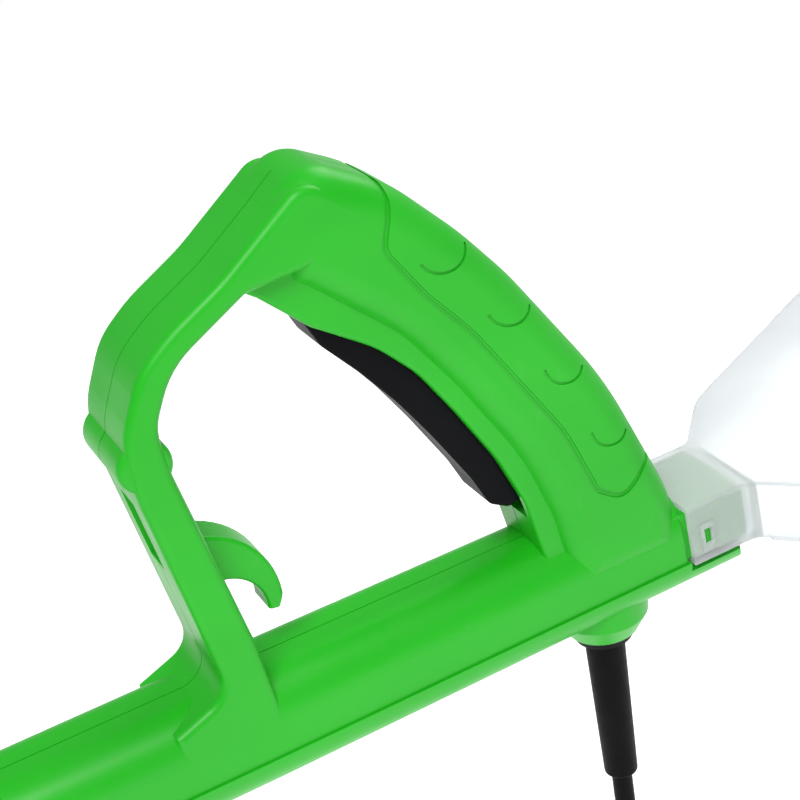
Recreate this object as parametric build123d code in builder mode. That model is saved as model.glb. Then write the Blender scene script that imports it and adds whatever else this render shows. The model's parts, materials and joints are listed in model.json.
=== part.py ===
"""Corded string trimmer with a D-shaped trigger handle, a straight shaft and a tap-feed line head.

The frame is in millimetres. Its origin is the middle of the hand grip, +X runs along the shaft
from the line head to the rear end, +Y is the user's right and +Z is square to the shaft, upwards.
"""
import os
from math import cos, hypot, pi, radians, sin, tan

from build123d import *

os.makedirs("parts", exist_ok=True)

# Handle housing
shaft_z = -87.4             # height of the shaft's axis below the grip
rear_x = 53.8               # rear end of the body
nose_x = -250.0             # front end of the body
handle_half = 18.2          # half width of the body, the leg, the strut and the grip
body_round = 13.0           # corner radius of the body's section
wall = 2.8                  # moulded wall
leg_round = 2.6
grip_round = 9.5
lip_half = 13.0             # half width of the lip that the trigger comes out of
band_z = shaft_z - 6.0      # upper edge of the raised band under the body
band_rise = 0.8
seam = 0.25                 # half width and depth of the groove along the parting line
inlay_depth = 1.8
inlay_gap = 0.08
channel_half = 0.9          # the moulded channel round the inlay
channel_depth = 0.55

# Trigger and switch
trigger_half = 9.0
trigger_gap = 0.5
pivot = (-39.5, 34.6)       # trigger hinge, X and Z
pin_r = 2.0
running_gap = 0.06
switch_contact = (-13.8, 1.15)
spring_contact = (3.4, -29.2)
spring_length = 14.5

# Screws of the housing, X and Z of each, driven from the user's right
screw_places = [
    (-103.0, 10.0), (-95.0, -50.0), (-46.0, 59.0), (27.0, -68.0), (-54.0, shaft_z + 13), (-150.0, shaft_z + 13),
]
screw_r = 1.75
screw_head_r = 3.4
screw_post_r = 5.2

# Shaft and motor head
tube_r = 13.0
tube_wall = 1.5
tube_back_x = -172.0
head_tilt = 35.0            # degrees between the line head's axis and +Z
head_x = -862.0
tube_front_x = head_x + 52
neck_end_x = head_x + 104
motor_r = 27.0
motor_shaft_r = 3.0
line_swath = 125.0

# Rear guard that clips on the tongue
tongue_half_y = 15.9
tongue_half_z = 8.2
tongue_z = -84.6
tongue_length = 23.0
snap_x = 61.0               # middle of the snap tabs and their windows
snap_z = -86.2
sleeve_wall = 1.9
sleeve_gap = 0.2

# Cord
cord_r = 3.5
boot_tilt = 3.2             # degrees that the cord exit leans forward
boot_x = 28.5
boot_top_z = shaft_z - 13.0
boot_length = 72.0
boss_end = 13.8             # length of the cord exit's boss below boot_top_z

def pull_direction(contact):
    """The way a point of the trigger moves when it is squeezed."""
    arm_x, arm_z = contact[0] - pivot[0], contact[1] - pivot[1]
    arm = hypot(arm_x, arm_z)
    return (-arm_z / arm, 0, arm_x / arm)


def pull_plane(contact, along=0.0):
    """A plane square to the trigger's pull at a contact point, some way further into the grip."""
    way = pull_direction(contact)
    origin = (contact[0] + along * way[0], 0, contact[1] + along * way[2])
    return Plane(origin=origin, x_dir=(0, 1, 0), z_dir=way)


shaft_axis = Axis((0, 0, shaft_z), (1, 0, 0))
shaft_plane = Plane(origin=(0, 0, shaft_z), x_dir=(0, 1, 0), z_dir=(1, 0, 0))
spin = Vector(sin(radians(head_tilt)), 0, cos(radians(head_tilt)))
head_plane = Plane(origin=(head_x, 0, shaft_z), x_dir=(spin.Z, 0, -spin.X), z_dir=spin)
boot_dir = Vector(-sin(radians(boot_tilt)), 0, -cos(radians(boot_tilt)))
boot_plane = Plane(origin=(boot_x, 0, boot_top_z), x_dir=(0, 1, 0), z_dir=boot_dir)


def finish(piece, name):
    """Label one piece and write its file."""
    piece.part.label = name
    export_step(piece.part, f"parts/{name}.step")


def rounded_face(corners, plane=Plane.XZ):
    """A face on a plane from corners given as (across, up, radius)."""
    with BuildSketch(plane) as face:
        with BuildLine():
            Polyline(*[(x, y) for x, y, _ in corners], close=True)
        make_face()
        for x, y, radius in corners:
            if radius:
                fillet(face.vertices().sort_by_distance((x, y, 0))[0], radius)
    return face.sketch


def slab(corners, half, edge=0.0, inset=0.0):
    """An outline in the XZ plane made half a width thick to both sides, with rounded edges."""
    with BuildPart() as body:
        with BuildSketch(Plane.XZ) as face:
            add(rounded_face(corners, Plane.XY))
            if inset:
                offset(amount=-inset, mode=Mode.REPLACE)
        extrude(amount=half - inset, both=True)
        if edge > inset:
            fillet(body.faces().filter_by(Axis.Y).edges(), edge - inset)
    return body.part


def turned(profile):
    """A solid of revolution from (along, radius) pairs about the shaft's axis."""
    with BuildPart() as body:
        with BuildSketch(Plane.XZ):
            with BuildLine():
                Polyline(*[(x, shaft_z + r) for x, r in profile], close=True)
            make_face()
        revolve(axis=shaft_axis)
    return body.part


def squared(sections):
    """A body along the shaft's axis from (along, half width, corner radius) sections."""
    with BuildPart() as body:
        for front, back in zip(sections, sections[1:]):
            for x, half, radius in (front, back):
                with BuildSketch(shaft_plane.offset(x)):
                    RectangleRounded(2 * half, 2 * half, radius)
            loft()
    return body.part


def stepped(plane, stages):
    """Cones and cylinders along a plane's normal from (start, end, radius at start, radius at end)."""
    with BuildPart() as body:
        for start, end, r_start, r_end in stages:
            with BuildSketch(plane.offset(start)):
                Circle(r_start)
            with BuildSketch(plane.offset(end)):
                Circle(r_end)
            loft()
    return body.part


def drum(profile):
    """A solid of revolution about the line head's axis from (radius, along) pairs."""
    with BuildPart() as body:
        with BuildSketch(Plane(origin=head_plane.origin, x_dir=head_plane.x_dir, z_dir=(0, -1, 0))):
            with BuildLine():
                Polyline(*profile, close=True)
            make_face()
        revolve(axis=Axis(head_plane.origin, head_plane.z_dir))
    return body.part


def rod(x, z, radius, y_from, y_to):
    """A cylinder across the handle."""
    with BuildPart() as body:
        with BuildSketch(Plane.XZ.offset(-y_to)):
            with Locations((x, z)):
                Circle(radius)
        extrude(amount=y_to - y_from)
    return body.part


def screw(x, z):
    """A cross-head screw driven into the housing from the user's right."""
    with BuildPart() as body:
        add(rod(x, z, screw_head_r, 6, 8.4))
        with BuildSketch(Plane.XZ.offset(-8.4)):
            with Locations((x, z)):
                Rectangle(4, 0.9)
                Rectangle(0.9, 4)
        extrude(amount=1.4, mode=Mode.SUBTRACT)
        add(rod(x, z, screw_r, -10.5, 6))
    return body.part


# Outlines of the D handle, corner by corner, as (X, Z, corner radius)
leg_outline = [
    (-118, -88, 0), (-118, -73, 0), (-99.6, -66, 9), (-108, 2, 50), (-107.6, 19, 24), (-98.5, 36, 24),
    (-88, 43.8, 50), (-70, 52.8, 60), (-41.5, 71.6, 8), (-26, 58, 0), (-44.4, 47.7, 0), (-64.1, 46.8, 4),
    (-88.8, 34.4, 26), (-97.3, 19.6, 16), (-96.6, 5, 30), (-87.9, -53.5, 0), (-85.4, -89.8, 0),
]
grip_outline = [
    (-51, 65.4, 0), (-38.4, 74.4, 12), (-16.5, 60.9, 60), (2, 38.8, 120), (14, 21.3, 120), (38, -22, 150),
    (53.2, -68, 50), (53.6, -88, 0), (14.3, -88, 0), (11.1, -59.2, 20), (5.1, -36, 100), (-10.5, -4.9, 100),
    (-23.2, 16.6, 60), (-47, 41, 8), (-51, 43.6, 0),
]
lip_outline = [
    (-66, 47.5, 0), (-60, 42.5, 2), (-47.5, 28.8, 5), (-30.6, 15.7, 40), (-20.1, 3.1, 40), (-11.3, -13.3, 60),
    (-1.7, -33.4, 60), (4.3, -51.3, 30), (8.9, -87.6, 0), (22, -87.6, 0), (21, -40, 0), (0, 0, 0), (-30, 36, 0),
    (-50, 52, 0),
]
inlay_outline = [
    (-21.6, 88.1, 0), (-19.2, 57.6, 6), (-24.1, 44.5, 7), (-14.8, 27.7, 30), (-3.9, 12.3, 60), (18.6, -30.1, 60),
    (25.8, -53.6, 6), (34, -59.8, 5), (42.4, -53.3, 5), (72, -44.7, 0), (72, 65, 0), (10, 88.1, 0),
]
crescents = [
    ((-14.5, 37.0), (-8.1, 32.1), (1.4, 36.7)), ((2.2, 15.0), (7.6, 9.5), (16.9, 11.5)),
    ((16.1, -8.4), (21.6, -15.0), (29.4, -13.0)), ((27.3, -34.2), (32.9, -40.8), (39.7, -38.9)),
]
body_sections = [
    (nose_x, 15.8, 15.2), (nose_x + 6, 16.8, 14.5), (-206, handle_half, body_round),
    (-90, handle_half, body_round), (rear_x - 1.5, 17.4, body_round), (rear_x, 16.4, 12.2),
]
band_sections = [
    (-236, 17.6 + band_rise, 14.5), (-206, handle_half + band_rise, body_round + band_rise),
    (-90, handle_half + band_rise, body_round + band_rise), (76, 17.3 + band_rise, body_round + band_rise),
]


def grip_form(inset):
    """The grip's rounded bar, drawn in by an inset."""
    return slab(grip_outline, handle_half, grip_round, inset)


def body_form(inset):
    """The tubular body, drawn in by an inset."""
    return squared([(x, half - inset, radius - inset) for x, half, radius in body_sections])


# The whole outside of the handle housing, before it is split and hollowed
with BuildPart() as lower_band:
    add(squared(band_sections))
    with BuildSketch(Plane.XZ):
        with BuildLine():
            Polyline((-237, band_z), (rear_x, band_z), (rear_x, tongue_z - 12.3), (77, tongue_z - 12.3),
                     (77, shaft_z - 30), (-237, shaft_z - 30), close=True)
        make_face()
    extrude(amount=40, both=True, mode=Mode.INTERSECT)
    with BuildSketch(Plane.XY.offset(shaft_z - 40)):
        add(rounded_face([(-240, -30, 0), (76, -30, 26), (76, 30, 26), (-240, 30, 0)], Plane.XY))
    extrude(amount=60, mode=Mode.INTERSECT)

with BuildPart() as boot_boss:
    add(stepped(boot_plane, [(-8, 7.4, 16.0, 15.4), (7.4, boss_end, 15.4, 11.6)]))

with BuildPart() as tongue:
    with BuildSketch(Plane(origin=(rear_x - 4, 0, tongue_z), x_dir=(0, 1, 0), z_dir=(1, 0, 0))):
        Rectangle(2 * tongue_half_y, 2 * tongue_half_z)
    extrude(amount=4 + tongue_length)
    chamfer(tongue.faces().sort_by(Axis.X)[-1].edges(), 1.0)
    for side in (-1, 1):
        with Locations((snap_x, side * tongue_half_y, snap_z)):
            Box(2.6, 2.4, 5.8)

with BuildPart() as cord_hook:
    with BuildSketch(Plane.XZ):
        with BuildLine():
            outer = ThreePointArc((-94.5, -21), (-80.3, -29.3), (-73.4, -49.2))
            tip = Line(outer @ 1, (-75.7, -53.1))
            lower = Line(tip @ 1, (-78.7, -52.7))
            inner = ThreePointArc(lower @ 1, (-81.8, -42.2), (-94.5, -37.9))
            Line(inner @ 1, outer @ 0)
        make_face()
    extrude(amount=6.5, both=True)
    fillet(cord_hook.faces().filter_by(Axis.Y).edges().filter_by(GeomType.CIRCLE), 1.2)

with BuildPart() as leg_boss:
    add(rod(*screw_places[0], 8.0, 1.0 - handle_half, handle_half - 1.0))
    fillet(leg_boss.edges(), 2.5)

with BuildPart() as outside:
    add(body_form(0))
    add(slab(leg_outline, handle_half, leg_round))
    add(grip_form(0))
    add(slab(lip_outline, lip_half, 1.5))
    add([lower_band.part, boot_boss.part, tongue.part, leg_boss.part])

# What is hollow inside it: the grip, the body, the tongue and the cord exit
with BuildPart() as hollow:
    add(grip_form(wall + 0.6))
    with Locations((-66, 0, 50)):
        Box(60, 60, 60, mode=Mode.SUBTRACT)
    add(turned([(-165, 0), (-165, 15.4), (rear_x - 3, 14.4), (rear_x - 3, 0)]))
    with Locations((rear_x + 8, 0, tongue_z)):
        Box(26, 25, 10.4)
    add(turned([(nose_x - 1, 0), (nose_x - 1, tube_r), (-150, tube_r), (-150, 0)]))
    add(stepped(boot_plane, [(-12, 20, 6.3, 6.3)]))
    add(stepped(boot_plane, [(-12, 2, 9.2, 9.2)]))

# The recess and the channel of the grip inlay, the groove of the parting line and the trigger's slot
with BuildPart() as inlay_skin:
    add(grip_form(0))
    add(grip_form(inlay_depth), mode=Mode.SUBTRACT)

with BuildPart() as inlay_recess:
    extrude(rounded_face(inlay_outline), amount=40, both=True)
    add(inlay_skin.part, mode=Mode.INTERSECT)

with BuildPart() as inlay_channel:
    with BuildSketch(Plane.XZ):
        add(rounded_face(inlay_outline, Plane.XY))
        offset(amount=channel_half)
    extrude(amount=40, both=True)
    with BuildSketch(Plane.XZ):
        add(rounded_face(inlay_outline, Plane.XY))
        offset(amount=-channel_half, mode=Mode.REPLACE)
    extrude(amount=40, both=True, mode=Mode.SUBTRACT)
    add(grip_form(channel_depth), mode=Mode.SUBTRACT)

with BuildPart() as seam_groove:
    with Locations((-102, 0, shaft_z + 70)):
        Box(2 * (rear_x + 102), 2 * seam, 176)
    add(grip_form(seam), mode=Mode.SUBTRACT)
    add(slab(leg_outline, handle_half, leg_round, seam), mode=Mode.SUBTRACT)
    add(body_form(seam), mode=Mode.SUBTRACT)

trigger_slot = slab([
    (-61.1, 18.1, 0), (-58.4, 34.8, 0), (-50.2, 45.5, 4), (-30.4, 45.3, 4), (-11.9, 24.5, 0), (2.8, 2.2, 0),
    (15, -24.5, 0), (21.3, -45.4, 3), (19.7, -56.6, 3), (2.8, -58.5, 0), (-11.3, -57.6, 0),
    (-21.3, -32.5, 0)], trigger_half + trigger_gap)

cord_slot = slab([(-118, -4, 0), (-80, -4, 0), (-80, -27, 0), (-118, -27, 0)], 6.0)

# Posts, pegs and seats inside it, which end at its outside
with BuildPart() as inner_walls:
    for x, z in screw_places[2:]:
        add(rod(x, z, screw_post_r, -25, 25))
    for side in (-1, 1):
        add(rod(*pivot, 5.6, *sorted((side * (trigger_half + 0.35), side * 25))))
    with BuildSketch(pull_plane(spring_contact, spring_length)):
        Rectangle(34, 11)
    extrude(amount=3)
    for peg in (-8.5, 8.5):
        x, _, z = pull_plane(switch_contact, 13.5).from_local_coords((0, peg, 0))
        add(rod(x, z, 1.5, -17, 17))
    with BuildSketch(shaft_plane.offset(-185)):
        Circle(17)
        Circle(tube_r, mode=Mode.SUBTRACT)
    extrude(amount=6)
    add(outside.part, mode=Mode.INTERSECT)

with BuildPart() as housing:
    add(outside.part)
    add(hollow.part, mode=Mode.SUBTRACT)
    add(inner_walls.part)
    add([trigger_slot, inlay_recess.part, inlay_channel.part, cord_slot, seam_groove.part], mode=Mode.SUBTRACT)
    add(cord_hook.part)
    add(rod(*pivot, pin_r, -12, 12), mode=Mode.SUBTRACT)
    for place in screw_places:
        add(rod(*place, screw_r, -11, 1), mode=Mode.SUBTRACT)
        add(rod(*place, screw_r + 0.3, 0, 7), mode=Mode.SUBTRACT)
        add(rod(*place, screw_head_r + 0.2, 6, 30), mode=Mode.SUBTRACT)

with BuildPart() as housing_left:
    add(housing.part)
    split(bisect_by=Plane.XZ, keep=Keep.TOP)
finish(housing_left, "housing_left")

with BuildPart() as housing_right:
    add(housing.part)
    split(bisect_by=Plane.XZ, keep=Keep.BOTTOM)
finish(housing_right, "housing_right")

with BuildPart() as scale_grooves:
    with BuildSketch(Plane.XZ):
        for tip_end, low, far_end in crescents:
            with BuildLine() as scale:
                ThreePointArc(tip_end, low, far_end)
            trace(line_width=0.9)
    extrude(amount=40, both=True)
    add(grip_form(0.5), mode=Mode.SUBTRACT)

with BuildPart() as grip_inlay:
    with BuildSketch(Plane.XZ):
        add(rounded_face(inlay_outline, Plane.XY))
        offset(amount=-inlay_gap, mode=Mode.REPLACE)
    extrude(amount=40, both=True)
    add(inlay_skin.part, mode=Mode.INTERSECT)
    add([inlay_channel.part, scale_grooves.part], mode=Mode.SUBTRACT)
finish(grip_inlay, "grip_inlay")

with BuildPart() as housing_screws:
    for place in screw_places:
        add(screw(*place))
finish(housing_screws, "housing_screws")

# Trigger, its pin and spring, and the switch that it presses
with BuildPart() as trigger:
    add(slab([
        (-49, 31.5, 3), (-44.8, 20.6, 6), (-35.5, 8.3, 30), (-26.4, -5.5, 60), (-18.8, -19.3, 60), (-9.3, -38.5, 40),
        (-5.4, -48.9, 4), (0.4, -52.4, 2), (8.2, -49.9, 1), (5.3, -32.5, 20), (-6.1, -9.8, 40), (-17.5, 7, 40),
        (-28.5, 20.6, 8), (-32.7, 36, 4), (-38.2, 42.9, 4), (-44.9, 40.6, 4)], trigger_half))
    fillet(trigger.edges().group_by(Axis.Y)[0] + trigger.edges().group_by(Axis.Y)[-1], 1.0)
    add(rod(*pivot, pin_r + running_gap, -12, 12), mode=Mode.SUBTRACT)
finish(trigger, "trigger")

with BuildPart() as trigger_pin:
    add(rod(*pivot, pin_r, -12, 12))
    chamfer(trigger_pin.faces().filter_by(Axis.Y).edges(), 0.3)
finish(trigger_pin, "trigger_pin")

with BuildPart() as trigger_spring:
    spring_start = pull_plane(spring_contact, 1.1)
    with BuildLine() as coil_line:
        Helix(pitch=2.6, height=spring_length - 2.0, radius=3.0, center=spring_start.origin,
              direction=spring_start.z_dir)
    with BuildSketch(Plane(origin=coil_line.line @ 0, z_dir=coil_line.line % 0)):
        Circle(0.45)
    sweep(is_frenet=True)
finish(trigger_spring, "trigger_spring")

with BuildPart() as switch_body:
    with BuildSketch(pull_plane(switch_contact, 5.5)):
        RectangleRounded(15, 24, 1.5)
    extrude(amount=16)
    with BuildSketch(pull_plane(switch_contact, 5.5)):
        Circle(2.5 + running_gap)
    extrude(amount=11.5, mode=Mode.SUBTRACT)
    for peg in (-8.5, 8.5):
        x, _, z = pull_plane(switch_contact, 13.5).from_local_coords((0, peg, 0))
        add(rod(x, z, 1.55, -9, 9), mode=Mode.SUBTRACT)
finish(switch_body, "switch_body")

with BuildPart() as switch_plunger:
    with BuildSketch(pull_plane(switch_contact, 0.4)):
        Circle(2.5)
    extrude(amount=11.6)
    fillet(switch_plunger.faces().sort_by(Axis(switch_contact[:1] + (0,) + switch_contact[1:],
                                               pull_direction(switch_contact)))[0].edges(), 0.8)
finish(switch_plunger, "switch_plunger")

with BuildPart() as capacitor:
    with BuildSketch(Plane(origin=(31.5, 0, -43), x_dir=(0.37, 0, -0.93), z_dir=(0, -1, 0))):
        RectangleRounded(17, 10, 1.2)
    extrude(amount=7, both=True)
finish(capacitor, "capacitor")

with BuildPart() as terminal_block:
    with Locations((-14, 0, shaft_z + 7)):
        Box(28, 18, 9)
    with Locations(*[(x, y, shaft_z + 11.5) for x in (-22, -14, -6) for y in (-5, 5)]):
        Hole(1.6, depth=4)
finish(terminal_block, "terminal_block")

with BuildPart() as motor_cable:
    with BuildSketch(shaft_plane.offset(head_x + 42)):
        Circle(3.2)
    extrude(amount=-29 - (head_x + 42))
finish(motor_cable, "motor_cable")

# Cord exit: boot, clamp, cord and plug
with BuildPart() as cord_boot:
    add(stepped(boot_plane, [
        (-2, 1.9, 9, 9), (1.9, boss_end + 0.3, 6.2, 6.2), (boss_end + 0.3, boss_end + 3.2, 10.6, 9.4),
        (boss_end + 3.2, boot_length, 6.6, 5.6)]))
    fillet(cord_boot.faces().sort_by(Axis.Z)[0].edges(), 1.0)
finish(cord_boot, "cord_boot")

with BuildPart() as cord_clamp:
    with Locations((boot_x, 0, shaft_z - 7.2)):
        Box(9, 20, 6)
    fillet(cord_clamp.edges().filter_by(Axis.Z), 1.5)
    with Locations((boot_x, -7.6, shaft_z - 4.2), (boot_x, 7.6, shaft_z - 4.2)):
        Hole(1.6)
finish(cord_clamp, "cord_clamp")

with BuildPart() as clamp_screws:
    for side in (-1, 1):
        with BuildSketch(Plane.XY.offset(shaft_z - 10.2)):
            with Locations((boot_x, side * 7.6)):
                Circle(1.5)
        extrude(amount=6)
        with BuildSketch(Plane.XY.offset(shaft_z - 4.2)):
            with Locations((boot_x, side * 7.6)):
                Circle(2.6)
        extrude(amount=1.8)
finish(clamp_screws, "clamp_screws")

boot_end = boot_plane.origin + boot_dir * boot_length
cord_route = [
    tuple(boot_end), tuple(boot_end + boot_dir * 34), (21.6, 4.0, -242), (28.9, 8.5, -277), (32.4, 8.0, -313),
    (29.9, 3.5, -348),
]


def cord_radii(route):
    """One bend radius for each inner point of a route."""
    radii = []
    for before, here, after in zip(route, route[1:], route[2:]):
        run_in, run_out = Vector(here) - Vector(before), Vector(after) - Vector(here)
        turn = radians(run_in.get_angle(run_out))
        radii.append(0.45 * min(run_in.length, run_out.length) / tan(turn / 2))
    return radii


print("cord radii", [round(radius) for radius in cord_radii(cord_route)])
with BuildPart() as cord:
    with BuildLine() as cord_line:
        FilletPolyline(*cord_route, radius=cord_radii(cord_route))
    with BuildSketch(Plane(origin=cord_line.line @ 0, z_dir=cord_line.line % 0)):
        Circle(cord_r)
    sweep()
cord_length = sum(edge.length for edge in cord_line.edges())
print("cord length", round(cord_length, 1), "volume ratio", cord.part.volume / (pi * cord_r**2 * cord_length))
finish(cord, "cord")

plug_plane = Plane(origin=cord_line.line @ 1, x_dir=(0, 1, 0), z_dir=cord_line.line % 1)
with BuildPart() as plug:
    for start, end, size_start, size_end in ((0, 12, (9, 9), (11, 10)), (12, 44, (14, 11), (30, 14))):
        with BuildSketch(plug_plane.offset(start)):
            RectangleRounded(*size_start, min(size_start) / 2 - 0.1)
        with BuildSketch(plug_plane.offset(end)):
            RectangleRounded(*size_end, min(size_end) / 2 - 0.1)
        loft()
finish(plug, "plug")

with BuildPart() as plug_pins:
    with BuildSketch(plug_plane.offset(44)):
        with Locations((-9.5, 0), (9.5, 0)):
            Circle(2.4)
    extrude(amount=19)
    fillet(plug_pins.faces().sort_by(Axis.Z)[:2].edges(), 1.2)
finish(plug_pins, "plug_pins")

# Rear guard: a sleeve clipped on the tongue that opens into a wide tray
sleeve_half_y = tongue_half_y + sleeve_gap + sleeve_wall
sleeve_top_z = tongue_z + tongue_half_z + sleeve_gap + sleeve_wall
sleeve_depth = 2 * (tongue_half_z + sleeve_gap + sleeve_wall)
guard_front_x = rear_x + 1.2
guard_skin = 2.0
tray_x = 81.0               # where the sleeve ends and the tray is open underneath
guard_side = [(60, 0), (60, sleeve_half_y), (78.5, sleeve_half_y), (97, 40.5), (190, 91.5), (215, 70), (215, 0)]
guard_rounds = [0, 0, 7, 34, 0, 0, 0]
guard_end_r = 145.0         # the tray's rear edge, about the point of guard_side's first corner


def guard_plan(inset):
    """The tray's outline seen from above, drawn in by an inset."""
    corners = [(x, y, r) for (x, y), r in zip(guard_side, guard_rounds)]
    with BuildSketch() as plan:
        add(rounded_face(corners, Plane.XY))
        with Locations(guard_side[0]):
            Circle(guard_end_r, mode=Mode.INTERSECT)
        mirror(about=Plane.XZ)
        fillet(plan.vertices().filter_by(lambda v: v.X > 150 and abs(v.Y) > 70), 8)
        if inset:
            offset(amount=-inset, mode=Mode.REPLACE)
    return plan.sketch


guard_floor = Plane.XY.offset(sleeve_top_z - sleeve_depth)
with BuildPart() as rear_guard:
    with BuildSketch(guard_floor):
        add(guard_plan(0))
    extrude(amount=sleeve_depth)
    with BuildSketch(guard_floor):
        with Locations(((guard_front_x + tray_x) / 2, 0)):
            Rectangle(tray_x - 4 - guard_front_x, 2 * sleeve_half_y)
        with Locations(((guard_front_x + 70) / 2, 0)):
            Rectangle(70 - guard_front_x, 2 * sleeve_half_y)
    extrude(amount=sleeve_depth)
    fillet(rear_guard.faces().sort_by(Axis.Z)[-1].edges().filter_by(lambda e: e.center().X > rear_x + 2), 1.6)
    with BuildSketch(guard_floor):
        add(guard_plan(guard_skin))
        with Locations((tray_x - 15, 0)):
            Rectangle(30, 200, mode=Mode.SUBTRACT)
    extrude(amount=sleeve_depth - guard_skin, mode=Mode.SUBTRACT)
    with BuildSketch(Plane(origin=(guard_front_x - 1, 0, tongue_z), x_dir=(0, 1, 0), z_dir=(1, 0, 0))):
        Rectangle(2 * (tongue_half_y + sleeve_gap), 2 * (tongue_half_z + sleeve_gap))
    extrude(amount=25, mode=Mode.SUBTRACT)
    with BuildSketch(guard_floor):
        add(guard_plan(-1.4))
        add(guard_plan(0.4), mode=Mode.SUBTRACT)
        with Locations((tray_x - 15, 0)):
            Rectangle(30, 200, mode=Mode.SUBTRACT)
    extrude(amount=1.8)
    for side in (-1, 1):
        with Locations((snap_x, side * (sleeve_half_y + 0.3), snap_z)):
            Box(5.6, 1.2, 9.4)
        with Locations((snap_x, side * sleeve_half_y, snap_z)):
            Box(3.2, 6, 6.4, mode=Mode.SUBTRACT)
finish(rear_guard, "rear_guard")

# Lower shaft
with BuildPart() as shaft_tube:
    with BuildSketch(shaft_plane.offset(tube_front_x)):
        Circle(tube_r)
        Circle(tube_r - tube_wall, mode=Mode.SUBTRACT)
    extrude(amount=tube_back_x - tube_front_x)
finish(shaft_tube, "shaft_tube")

with BuildPart() as nose_collar:
    add(turned([(nose_x - 14, tube_r), (nose_x - 14, 15.4), (nose_x - 11, 17.0), (nose_x, 17.4), (nose_x, tube_r)]))
finish(nose_collar, "nose_collar")

# Motor head. Its sections are (radius, along) about the line head's axis
neck_r = 22.0
head_screw_places = [
    (head_x + 76, shaft_z + 17.4), (head_x + 76, shaft_z - 17.4),
    tuple(head_plane.from_local_coords((0, 0, 72)))[::2],
]
head_outer = [(0, 78), (12, 77), (22, 73), (30, 64), (34.5, 50), (36.5, 28), (37.5, -34), (0, -34)]
head_inner = [(0, 65), (11, 65), (19, 63), (26, 56), (30.2, 46), (32.4, 28), (33.6, -31), (0, -31)]

with BuildPart() as head_housing:
    add(drum(head_outer))
    add(turned([(head_x, 0), (head_x, 25), (head_x + 40, 24.5), (neck_end_x - 3, neck_r), (neck_end_x, neck_r - 2),
                (neck_end_x, 0)]))
    with BuildSketch(head_plane.offset(-60)):
        Circle(60)
    extrude(amount=26, mode=Mode.SUBTRACT)
    add(drum(head_inner), mode=Mode.SUBTRACT)
    add(turned([(tube_front_x, 0), (tube_front_x, tube_r), (neck_end_x + 1, tube_r), (neck_end_x + 1, 0)]),
        mode=Mode.SUBTRACT)
    add(turned([(head_x, 0), (head_x, 10.5), (neck_end_x, 10.5), (neck_end_x, 0)]), mode=Mode.SUBTRACT)
    with BuildSketch(head_plane.offset(-40)):
        Circle(11)
    extrude(amount=20, mode=Mode.SUBTRACT)
    with BuildSketch(head_plane.offset(34)):
        with PolarLocations(34, 11, start_angle=80, angular_range=200):
            Rectangle(12, 2.4)
    extrude(amount=16, mode=Mode.SUBTRACT)
    for angle in (90, 210, 330):
        with BuildSketch(head_plane.offset(-34)):
            with PolarLocations(22, 1, start_angle=angle):
                Circle(screw_r)
        extrude(amount=3, mode=Mode.SUBTRACT)
    for x, z in head_screw_places:
        add(rod(x, z, screw_r, -11, 1), mode=Mode.SUBTRACT)
        add(rod(x, z, screw_r + 0.3, 0, 7), mode=Mode.SUBTRACT)
        add(rod(x, z, screw_head_r + 0.2, 6, 30), mode=Mode.SUBTRACT)

with BuildPart() as head_housing_left:
    add(head_housing.part)
    split(bisect_by=Plane.XZ, keep=Keep.TOP)
finish(head_housing_left, "head_housing_left")

with BuildPart() as head_housing_right:
    add(head_housing.part)
    split(bisect_by=Plane.XZ, keep=Keep.BOTTOM)
finish(head_housing_right, "head_housing_right")

with BuildPart() as head_screws:
    for x, z in head_screw_places:
        add(screw(x, z))
finish(head_screws, "head_screws")

with BuildPart() as motor_can:
    bore_r = motor_shaft_r + running_gap
    add(drum([(bore_r, -26), (9, -26), (9, -23), (motor_r, -23), (motor_r, 40), (9, 40), (9, 43), (bore_r, 43)]))
finish(motor_can, "motor_can")

for name, low in (("motor_ring_lower", -20), ("motor_ring_upper", 20)):
    with BuildPart() as motor_ring:
        add(drum([(motor_r, low), (32.3, low), (32.3, low + 7), (motor_r, low + 7)]))
    finish(motor_ring, name)

with BuildPart() as motor_shaft:
    add(drum([(0, -44), (motor_shaft_r - 0.5, -44), (motor_shaft_r, -43.5), (motor_shaft_r, 58), (0, 58)]))
finish(motor_shaft, "motor_shaft")

with BuildPart() as cooling_fan:
    add(drum([(motor_shaft_r, 45), (21, 45), (21, 46.5), (7, 46.5), (7, 54), (motor_shaft_r, 54)]))
    with BuildSketch(head_plane.offset(46.5)):
        with PolarLocations(13, 8):
            Rectangle(14, 1.4)
    extrude(amount=5.5)
finish(cooling_fan, "cooling_fan")

# Line head
with BuildPart() as spool_housing:
    add(drum([(motor_shaft_r, -38.6), (39, -38.6), (42, -42), (42, -63), (39.6, -63), (39.6, -41.4),
              (8, -41.4), (8, -44), (motor_shaft_r, -44)]))
    with BuildSketch(Plane(origin=head_plane.from_local_coords((0, 0, -52)), x_dir=head_plane.z_dir,
                           z_dir=(0, 1, 0))):
        Circle(2.4)
    extrude(amount=60, both=True, mode=Mode.SUBTRACT)
finish(spool_housing, "spool_housing")

with BuildPart() as spool:
    add(drum([(19.4, -61.5), (38.6, -61.5), (38.6, -60), (22, -60), (22, -44.4), (38.6, -44.4), (38.6, -42.9),
              (10.8, -42.9), (10.8, -58.2), (19.4, -58.2)]))
finish(spool, "spool")

with BuildPart() as wound_line:
    add(drum([(22, -59.6), (31, -59.6), (32.5, -58), (32.5, -46.4), (31, -44.8), (22, -44.8)]))
finish(wound_line, "wound_line")

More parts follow.
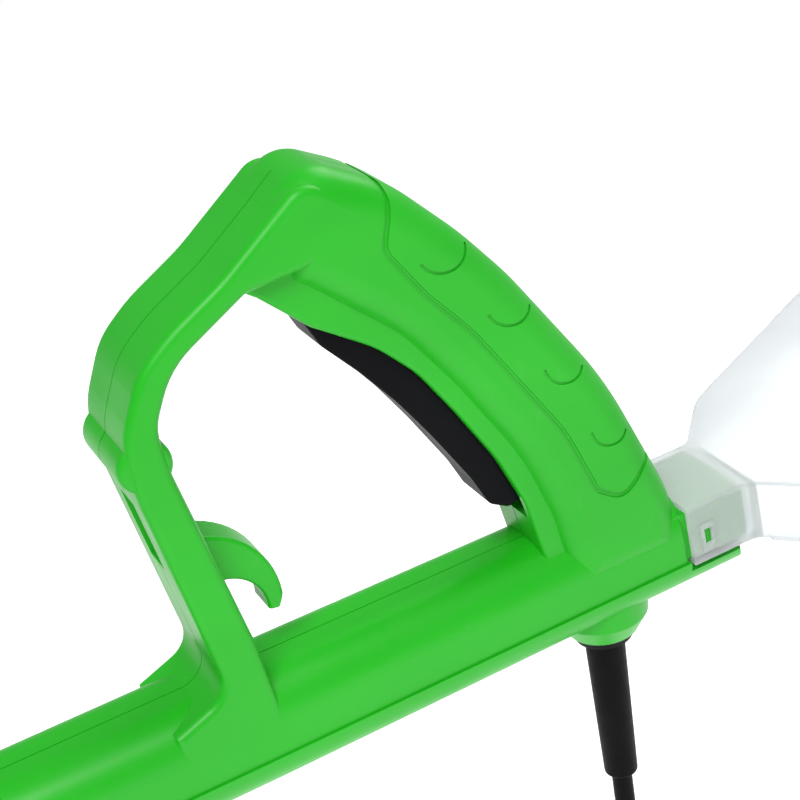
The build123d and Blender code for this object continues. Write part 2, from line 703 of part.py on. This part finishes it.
with BuildPart() as line_eyelets:
    for way in (-1, 1):
        with BuildSketch(Plane(origin=head_plane.from_local_coords((0, way * 39.6, -52)),
                               x_dir=head_plane.z_dir, z_dir=(0, way, 0))):
            Circle(2.4)
            Circle(1.3, mode=Mode.SUBTRACT)
        extrude(amount=3.4)
finish(line_eyelets, "line_eyelets")

with BuildPart() as line_tails:
    for way in (-1, 1):
        with BuildSketch(Plane(origin=head_plane.from_local_coords((0, way * 32.8, -52)),
                               x_dir=head_plane.z_dir, z_dir=(0, way, 0))):
            Circle(1.0)
        extrude(amount=line_swath - 32.8)
finish(line_tails, "line_tails")

with BuildPart() as spool_cover:
    add(drum([(19.2, -63), (42, -63), (42, -65), (39, -66.8), (21, -66.8), (19.2, -65.5)]))
finish(spool_cover, "spool_cover")

with BuildPart() as tap_knob:
    add(drum([(0, -75.5), (10, -75), (16, -72.5), (18.6, -69), (18.8, -62.8), (10.2, -62.8), (10.2, -51), (0, -51)]))
finish(tap_knob, "tap_knob")

with BuildPart() as tap_spring:
    with BuildLine() as coil_line:
        Helix(pitch=1.7, height=7.4, radius=9.2, center=head_plane.from_local_coords((0, 0, -50.2)),
              direction=head_plane.z_dir)
    with BuildSketch(Plane(origin=coil_line.line @ 0, z_dir=coil_line.line % 0)):
        Circle(0.5)
    sweep(is_frenet=True)
finish(tap_spring, "tap_spring")

# Guard over the line head, open to the front, with its cutter
guard_r = 131.0
guard_spread = 75.0
guard_plate = (-36.8, -34.0)
with BuildPart() as line_guard:
    with BuildSketch(head_plane.offset(guard_plate[0])):
        with BuildLine():
            start = (guard_r * cos(radians(guard_spread)), -guard_r * sin(radians(guard_spread)))
            finish_point = (start[0], -start[1])
            RadiusArc(start, finish_point, -guard_r)
            Polyline(finish_point, (-8, 36), (-8, -36), start)
        make_face()
        Circle(37.4)
        Circle(12, mode=Mode.SUBTRACT)
    extrude(amount=guard_plate[1] - guard_plate[0])
    with BuildSketch(head_plane.offset(-61)):
        with BuildLine():
            RadiusArc(start, finish_point, -guard_r)
            inner = tuple(value * (guard_r - 2.4) / guard_r for value in finish_point)
            Line(finish_point, inner)
            RadiusArc(inner, (inner[0], -inner[1]), guard_r - 2.4)
            Line((inner[0], -inner[1]), start)
        make_face()
    extrude(amount=61 + guard_plate[1])
    with BuildSketch(head_plane.offset(guard_plate[1])):
        with PolarLocations(84, 5, start_angle=-56, angular_range=112):
            Rectangle(80, 2)
    extrude(amount=4)
    for angle in (90, 210, 330):
        with BuildSketch(head_plane.offset(guard_plate[0])):
            with PolarLocations(22, 1, start_angle=angle):
                Circle(3.4)
        extrude(amount=1.6, mode=Mode.SUBTRACT)
        with BuildSketch(head_plane.offset(guard_plate[0])):
            with PolarLocations(22, 1, start_angle=angle):
                Circle(screw_r + 0.2)
        extrude(amount=3, mode=Mode.SUBTRACT)
finish(line_guard, "line_guard")

with BuildPart() as guard_screws:
    for angle in (90, 210, 330):
        with BuildSketch(head_plane.offset(guard_plate[0])):
            with PolarLocations(22, 1, start_angle=angle):
                Circle(3.2)
        extrude(amount=1.6)
        with BuildSketch(head_plane.offset(guard_plate[0] + 1.6)):
            with PolarLocations(22, 1, start_angle=angle):
                Circle(screw_r)
        extrude(amount=4.0)
finish(guard_screws, "guard_screws")

with BuildPart() as line_cutter:
    cutter_angle = guard_spread - 6
    with BuildSketch(head_plane.offset(-58)):
        with PolarLocations(guard_r - 2.4 - 0.9, 1, start_angle=cutter_angle):
            Rectangle(1.2, 16)
    extrude(amount=15)
finish(line_cutter, "line_cutter")
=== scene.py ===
"""Looks of the string trimmer: materials, springs, cord, stage, light and camera.

Lengths are in metres, in the CAD frame.
"""
import json
from math import cos, pi, radians, sin

import bpy
from mathutils import Matrix, Vector


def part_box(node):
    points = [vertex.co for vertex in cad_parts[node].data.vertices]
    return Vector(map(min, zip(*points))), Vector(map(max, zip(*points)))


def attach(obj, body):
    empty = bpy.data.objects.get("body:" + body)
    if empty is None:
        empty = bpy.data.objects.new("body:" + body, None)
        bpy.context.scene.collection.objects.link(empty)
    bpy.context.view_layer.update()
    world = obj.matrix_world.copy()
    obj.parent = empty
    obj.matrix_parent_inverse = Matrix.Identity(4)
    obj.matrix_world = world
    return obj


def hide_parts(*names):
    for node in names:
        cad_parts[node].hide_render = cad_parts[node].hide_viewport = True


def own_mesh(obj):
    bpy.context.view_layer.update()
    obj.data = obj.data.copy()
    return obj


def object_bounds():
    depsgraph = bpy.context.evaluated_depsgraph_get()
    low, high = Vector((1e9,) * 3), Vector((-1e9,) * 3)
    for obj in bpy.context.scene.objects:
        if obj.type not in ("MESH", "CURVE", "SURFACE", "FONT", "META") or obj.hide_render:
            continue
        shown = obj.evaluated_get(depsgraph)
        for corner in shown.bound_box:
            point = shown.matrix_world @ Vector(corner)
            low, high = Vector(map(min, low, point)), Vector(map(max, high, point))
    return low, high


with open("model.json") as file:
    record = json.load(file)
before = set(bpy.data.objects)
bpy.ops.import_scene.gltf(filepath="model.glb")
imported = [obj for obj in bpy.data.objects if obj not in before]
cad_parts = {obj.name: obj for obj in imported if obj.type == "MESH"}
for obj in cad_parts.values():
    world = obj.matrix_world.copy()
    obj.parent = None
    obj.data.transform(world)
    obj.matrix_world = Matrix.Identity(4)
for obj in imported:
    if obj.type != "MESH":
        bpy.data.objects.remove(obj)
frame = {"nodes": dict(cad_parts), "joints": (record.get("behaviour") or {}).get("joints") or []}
nodes = frame["nodes"]
cad_low, cad_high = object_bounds()
MM = 0.001


# Node helpers for the materials
class Shader:
    """A material's node tree, with short calls for the nodes that the materials share."""

    def __init__(self, name):
        self.material = bpy.data.materials.new(name)
        self.material.use_nodes = True
        self.tree = self.material.node_tree
        self.surface = self.tree.nodes["Principled BSDF"]
        self.coords = self.tree.nodes.new("ShaderNodeTexCoord").outputs["Object"]

    def set(self, **values):
        """Constant values on the surface shader, by socket name with _ for a space."""
        for key, value in values.items():
            self.surface.inputs[key.replace("_", " ")].default_value = value

    def link(self, output, socket):
        self.tree.links.new(output, self.surface.inputs[socket])

    def stretched(self, scale):
        """Object coordinates scaled along each axis."""
        mapping = self.tree.nodes.new("ShaderNodeMapping")
        mapping.inputs["Scale"].default_value = scale
        self.tree.links.new(self.coords, mapping.inputs["Vector"])
        return mapping.outputs["Vector"]

    def noise(self, scale, detail=4.0, rough=0.55, vector=None):
        node = self.tree.nodes.new("ShaderNodeTexNoise")
        node.inputs["Scale"].default_value = scale
        node.inputs["Detail"].default_value = detail
        node.inputs["Roughness"].default_value = rough
        self.tree.links.new(vector or self.coords, node.inputs["Vector"])
        return node.outputs["Fac"]

    def ramp(self, value, *stops):
        """A colour or grey ramp from (position, value) stops."""
        node = self.tree.nodes.new("ShaderNodeValToRGB")
        elements = node.color_ramp.elements
        while len(elements) < len(stops):
            elements.new(0.5)
        for element, (position, colour) in zip(elements, stops):
            element.position = position
            element.color = (*colour, 1) if isinstance(colour, tuple) else (colour, colour, colour, 1)
        self.tree.links.new(value, node.inputs["Fac"])
        return node.outputs["Color"]

    def mix(self, factor, first, second, blend="MIX"):
        node = self.tree.nodes.new("ShaderNodeMix")
        node.data_type = "RGBA"
        node.blend_type = blend
        sockets = {"Factor": node.inputs[0], "A": node.inputs[6], "B": node.inputs[7]}
        for key, value in (("Factor", factor), ("A", first), ("B", second)):
            if isinstance(value, bpy.types.NodeSocket):
                self.tree.links.new(value, sockets[key])
            elif key == "Factor":
                sockets[key].default_value = value
            else:
                sockets[key].default_value = (*value, 1)
        return node.outputs[2]

    def bump(self, height, strength, distance, under=None):
        node = self.tree.nodes.new("ShaderNodeBump")
        node.inputs["Strength"].default_value = strength
        node.inputs["Distance"].default_value = distance
        self.tree.links.new(height, node.inputs["Height"])
        if under:
            self.tree.links.new(under, node.inputs["Normal"])
        return node.outputs["Normal"]


def moulded_plastic(name, colour, dark, roughness, grain=900.0, coat=0.0, specular=0.35, wear=0.06):
    """Injection-moulded plastic with faint flow marks, fine grain and handling scratches."""
    shader = Shader(name)
    flow = shader.noise(9.0, 3.0, 0.5, shader.stretched((1.0, 1.0, 2.2)))
    scuffs = shader.noise(160.0, 5.0, 0.6, shader.stretched((1.0, 4.0, 0.35)))
    tone = shader.ramp(flow, (0.3, dark), (0.7, colour))
    worn = tuple(min(1.0, 0.9 * value + wear) for value in colour)
    scuffed = shader.mix(shader.ramp(scuffs, (0.64, 0.0), (0.82, 0.4)), tone, worn)
    shader.link(scuffed, "Base Color")
    rough = shader.ramp(shader.noise(38.0, 5.0), (0.25, roughness - 0.05), (0.8, roughness + 0.08))
    shader.link(rough, "Roughness")
    fine = shader.bump(shader.noise(grain, 2.0), 0.12, 0.0001)
    wavy = shader.bump(shader.noise(26.0, 2.0), 0.05, 0.0012, fine)
    shader.link(wavy, "Normal")
    shader.set(IOR=1.5, Coat_Weight=coat, Coat_Roughness=0.22, Specular_IOR_Level=specular)
    return shader.material


def rubber(name, colour, roughness):
    """Matt flexible plastic or rubber with a pebbled skin and pale dust in its low spots."""
    shader = Shader(name)
    dust = shader.ramp(shader.noise(60.0, 6.0, 0.6), (0.55, 0.0), (0.85, 0.22))
    pale = tuple(value * 0.5 + 0.02 for value in colour)
    shader.link(shader.mix(dust, colour, pale), "Base Color")
    rough = shader.ramp(shader.noise(210.0, 4.0), (0.3, roughness - 0.06), (0.75, roughness + 0.1))
    shader.link(rough, "Roughness")
    shader.link(shader.bump(shader.noise(1500.0, 3.0), 0.2, 0.0001), "Normal")
    shader.set(IOR=1.48, Specular_IOR_Level=0.06)
    return shader.material


def metal(name, colour, dark, roughness, stretch=(1.0, 1.0, 1.0), scale=420.0):
    """Metal with drawn or ground streaks, uneven tone and some dull spots."""
    shader = Shader(name)
    streaks = shader.noise(scale, 6.0, 0.65, shader.stretched(stretch))
    tone = shader.ramp(streaks, (0.3, dark), (0.72, colour))
    stain = shader.ramp(shader.noise(45.0, 4.0), (0.6, 0.0), (0.85, 0.35))
    shader.link(shader.mix(stain, tone, tuple(0.6 * value for value in dark)), "Base Color")
    shader.link(shader.ramp(streaks, (0.2, roughness - 0.06), (0.8, roughness + 0.14)), "Roughness")
    shader.link(shader.bump(streaks, 0.12, 0.0002), "Normal")
    shader.set(Metallic=1.0)
    return shader.material


def translucent_plastic(name):
    """Milky polypropylene: some light passes, the shapes behind it blur and its edges glow white."""
    shader = Shader(name)
    cloud = shader.noise(22.0, 4.0)
    shader.link(shader.ramp(cloud, (0.3, (0.84, 0.87, 0.89)), (0.75, (0.93, 0.95, 0.96))), "Base Color")
    shader.link(shader.ramp(shader.noise(70.0, 5.0), (0.3, 0.36), (0.8, 0.44)), "Roughness")
    shader.link(shader.bump(shader.noise(90.0, 3.0), 0.02, 0.0002), "Normal")
    edge = shader.tree.nodes.new("ShaderNodeLayerWeight")
    edge.inputs["Blend"].default_value = 0.35
    shader.link(shader.ramp(edge.outputs["Facing"], (0.25, 0.72), (0.9, 0.3)), "Transmission Weight")
    shader.set(IOR=1.25, Specular_IOR_Level=0.4)
    return shader.material


green = moulded_plastic("green_housing", (0.015, 0.47, 0.012), (0.011, 0.41, 0.009), 0.38)
grip_green = moulded_plastic("green_grip", (0.017, 0.475, 0.014), (0.013, 0.42, 0.011), 0.46, grain=1400.0)
black = moulded_plastic("black_moulding", (0.005, 0.005, 0.007), (0.003, 0.003, 0.004), 0.46, specular=0.06,
                        wear=0.01)
rubber_black = rubber("black_rubber", (0.004, 0.004, 0.005), 0.46)
ivory = moulded_plastic("ivory_nylon", (0.78, 0.77, 0.7), (0.7, 0.69, 0.61), 0.42)
steel = metal("zinc_steel", (0.66, 0.67, 0.68), (0.5, 0.51, 0.53), 0.3)
can_steel = metal("motor_steel", (0.5, 0.51, 0.53), (0.36, 0.37, 0.39), 0.38, (1.0, 1.0, 6.0))
spring_steel = metal("spring_steel", (0.5, 0.5, 0.52), (0.36, 0.36, 0.38), 0.26)
anodised = metal("anodised_tube", (0.74, 0.75, 0.77), (0.62, 0.63, 0.65), 0.3, (0.03, 1.0, 1.0), 900.0)
brass = metal("plated_brass", (0.83, 0.72, 0.42), (0.68, 0.56, 0.3), 0.24)
milky = translucent_plastic("milky_plastic")
orange_line = moulded_plastic("line_nylon", (0.9, 0.22, 0.02), (0.75, 0.15, 0.015), 0.3, coat=0.3)
blue_film = moulded_plastic("blue_film", (0.03, 0.09, 0.3), (0.02, 0.06, 0.22), 0.25, coat=0.5)

looks = {
    green: ["housing_left", "housing_right", "head_housing_left", "head_housing_right", "tap_knob"],
    grip_green: ["grip_inlay"],
    black: ["trigger", "switch_body", "cord_clamp", "nose_collar", "spool_housing", "spool", "spool_cover",
            "line_guard"],
    rubber_black: ["cord_boot", "motor_cable", "plug", "motor_ring_lower", "motor_ring_upper"],
    ivory: ["switch_plunger", "terminal_block", "cooling_fan"],
    steel: ["housing_screws", "trigger_pin", "clamp_screws", "head_screws", "guard_screws", "motor_shaft",
            "line_eyelets", "line_cutter"],
    can_steel: ["motor_can"],
    anodised: ["shaft_tube"],
    brass: ["plug_pins"],
    milky: ["rear_guard"],
    orange_line: ["wound_line", "line_tails"],
    blue_film: ["capacitor"],
}
for look, names in looks.items():
    for name in names:
        mesh = nodes[name].data
        mesh.materials.clear()
        mesh.materials.append(look)


def tube_along(name, points, radius, look):
    """A round wire along points, as a mesh."""
    curve = bpy.data.curves.new(name, "CURVE")
    curve.dimensions = "3D"
    curve.bevel_depth = radius
    curve.bevel_resolution = 3
    curve.use_fill_caps = True
    spline = curve.splines.new("POLY")
    spline.points.add(len(points) - 1)
    for point, place in zip(spline.points, points):
        point.co = (*place, 1)
    shape = bpy.data.objects.new(name + "_curve", curve)
    mesh = bpy.data.meshes.new_from_object(shape)
    mesh.name = name
    bpy.data.objects.remove(shape)
    piece = bpy.data.objects.new(name, mesh)
    bpy.context.scene.collection.objects.link(piece)
    for polygon in mesh.polygons:
        polygon.use_smooth = True
    mesh.materials.clear()
    mesh.materials.append(look)
    return piece


def coil_spring(name, node, axis, radius, wire, turns):
    """A compression spring with closed ends in the place of its CAD node; wire is the wire's radius."""
    axis = Vector(axis).normalized()
    side = axis.orthogonal().normalized()
    other = axis.cross(side)
    low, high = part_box(node)
    middle = (low + high) / 2
    reach = [(Vector(v.co) - middle).dot(axis) for v in nodes[node].data.vertices]
    start, end = min(reach) + wire, max(reach) - wire
    steps = turns * 24
    closed = 0.1                        # share of the wire in each closed end
    points = []
    for step in range(steps + 1):
        part = step / steps
        lift = min(max((part - closed) / (1 - 2 * closed), 0.0), 1.0)
        angle = 2 * pi * turns * part
        points.append(middle + axis * (start + (end - start) * lift)
                      + radius * (cos(angle) * side + sin(angle) * other))
    piece = tube_along(name, points, wire, spring_steel)
    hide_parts(node)
    return piece


trigger_joint = next(joint for joint in frame["joints"] if joint["name"] == "trigger_pull")
tap_joint = next(joint for joint in frame["joints"] if joint["name"] == "tap_feed")
spin_axis = Vector(tap_joint["axis"])
pivot = Vector(trigger_joint["pos_m"])

# The trigger's spring, squashed against its seat, and the tap knob's, against the hub
low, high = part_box("trigger_spring")
spring_middle = (low + high) / 2
arm = spring_middle - pivot
pull = Vector((-arm.z, 0, arm.x)).normalized()
trigger_spring = coil_spring("trigger_coil", "trigger_spring", pull, radius=3.0 * MM, wire=0.45 * MM, turns=6)
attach(trigger_spring, "handle")
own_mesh(trigger_spring)

low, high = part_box("tap_spring")
tap_spring = coil_spring("tap_coil", "tap_spring", spin_axis, radius=9.2 * MM, wire=0.5 * MM, turns=4)
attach(tap_spring, "line_head")
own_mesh(tap_spring)

# Cord: the same route as the CAD tube, from the end of the boot
boot_tilt = radians(3.2)
boot_top = Vector((28.5, 0, -100.4)) * MM
boot_length = 72.0 * MM
boot_way = Vector((-sin(boot_tilt), 0, -cos(boot_tilt)))
boot_end = boot_top + boot_way * boot_length
cord_route = [
    boot_end, boot_end + boot_way * 34 * MM, Vector((21.6, 4.0, -242)) * MM, Vector((28.9, 8.5, -277)) * MM,
    Vector((32.4, 8.0, -313)) * MM, Vector((29.9, 3.5, -348)) * MM,
]
cord_diameter = 7.0 * MM
curve = bpy.data.curves.new("mains_cord", "CURVE")
curve.dimensions = "3D"
curve.bevel_depth = cord_diameter / 2
curve.bevel_resolution = 5
curve.resolution_u = 16
spline = curve.splines.new("NURBS")
spline.points.add(len(cord_route) - 1)
for point, place in zip(spline.points, cord_route):
    point.co = (*place, 1)
spline.order_u = 3
spline.use_endpoint_u = True
curve.materials.append(rubber_black)
mains_cord = bpy.data.objects.new("mains_cord", curve)
bpy.context.scene.collection.objects.link(mains_cord)
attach(mains_cord, "handle")
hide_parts("cord")

# Stage: a pale floor below the hanging cord, soft light, white surroundings
floor_gap = 4.0 * MM
floor_z = cad_low.z - floor_gap
floor_mesh = bpy.data.meshes.new("floor")
reach = 9.0
floor_mesh.from_pydata([(-reach, -reach, floor_z), (reach, -reach, floor_z), (reach, reach, floor_z),
                        (-reach, reach, floor_z)], [], [(0, 1, 2, 3)])
floor = bpy.data.objects.new("floor", floor_mesh)
bpy.context.scene.collection.objects.link(floor)
paper = Shader("floor_paper")
paper.link(paper.ramp(paper.noise(0.8, 2.0), (0.3, 0.93), (0.7, 0.95)), "Base Color")
paper.set(Roughness=0.9, Emission_Color=(1.0, 1.0, 1.0, 1.0), Emission_Strength=0.6)
floor_mesh.materials.append(paper.material)

# White surroundings to the camera, and a third as bright to the part
world = bpy.data.worlds.new("white_room")
bpy.context.scene.world = world
world.use_nodes = True
backdrop = world.node_tree.nodes["Background"]
backdrop.inputs["Color"].default_value = (1.0, 1.0, 1.0, 1)
light_on_part, white_to_camera = 0.36, 1.0
ray = world.node_tree.nodes.new("ShaderNodeLightPath").outputs["Is Camera Ray"]
brightness = world.node_tree.nodes.new("ShaderNodeMapRange")
brightness.inputs["To Min"].default_value = light_on_part
brightness.inputs["To Max"].default_value = white_to_camera
world.node_tree.links.new(ray, brightness.inputs["Value"])
world.node_tree.links.new(brightness.outputs["Result"], backdrop.inputs["Strength"])


def area_light(name, place, target, size, power):
    """A soft square lamp aimed at a point."""
    data = bpy.data.lights.new(name, "AREA")
    data.size = size
    data.energy = power
    lamp = bpy.data.objects.new(name, data)
    lamp.location = place
    lamp.rotation_euler = (Vector(place) - Vector(target)).to_track_quat("Z", "Y").to_euler()
    bpy.context.scene.collection.objects.link(lamp)


grip = (0.0, 0.0, -0.02)
area_light("key", (-0.45, -0.75, 1.15), grip, 0.7, 17)
area_light("rear", (0.9, 0.5, 0.9), grip, 0.8, 9)

# Camera: at the user's left, a little ahead and above, rolled so that the shaft falls to the left
azimuth, elevation, roll = radians(-20.0), radians(26.8), radians(13.2)
distance = 0.545
back = Vector((sin(azimuth) * cos(elevation), -cos(azimuth) * cos(elevation), sin(elevation)))
level = Vector((cos(azimuth), sin(azimuth), 0))
rise = back.cross(level)
right = level * cos(roll) - rise * sin(roll)
up = level * sin(roll) + rise * cos(roll)
aim_right, aim_up = -0.01813, -0.01608
camera_data = bpy.data.cameras.new("camera")
camera_data.sensor_width = 36.0
camera_data.lens = 83.9
camera = bpy.data.objects.new("camera", camera_data)
bpy.context.scene.collection.objects.link(camera)
place = back * distance + right * aim_right + up * aim_up
turn = Matrix((right, up, back)).transposed()
camera.matrix_world = Matrix.Translation(place) @ turn.to_4x4()
bpy.context.scene.camera = camera
bpy.context.scene.view_settings.view_transform = "Standard"
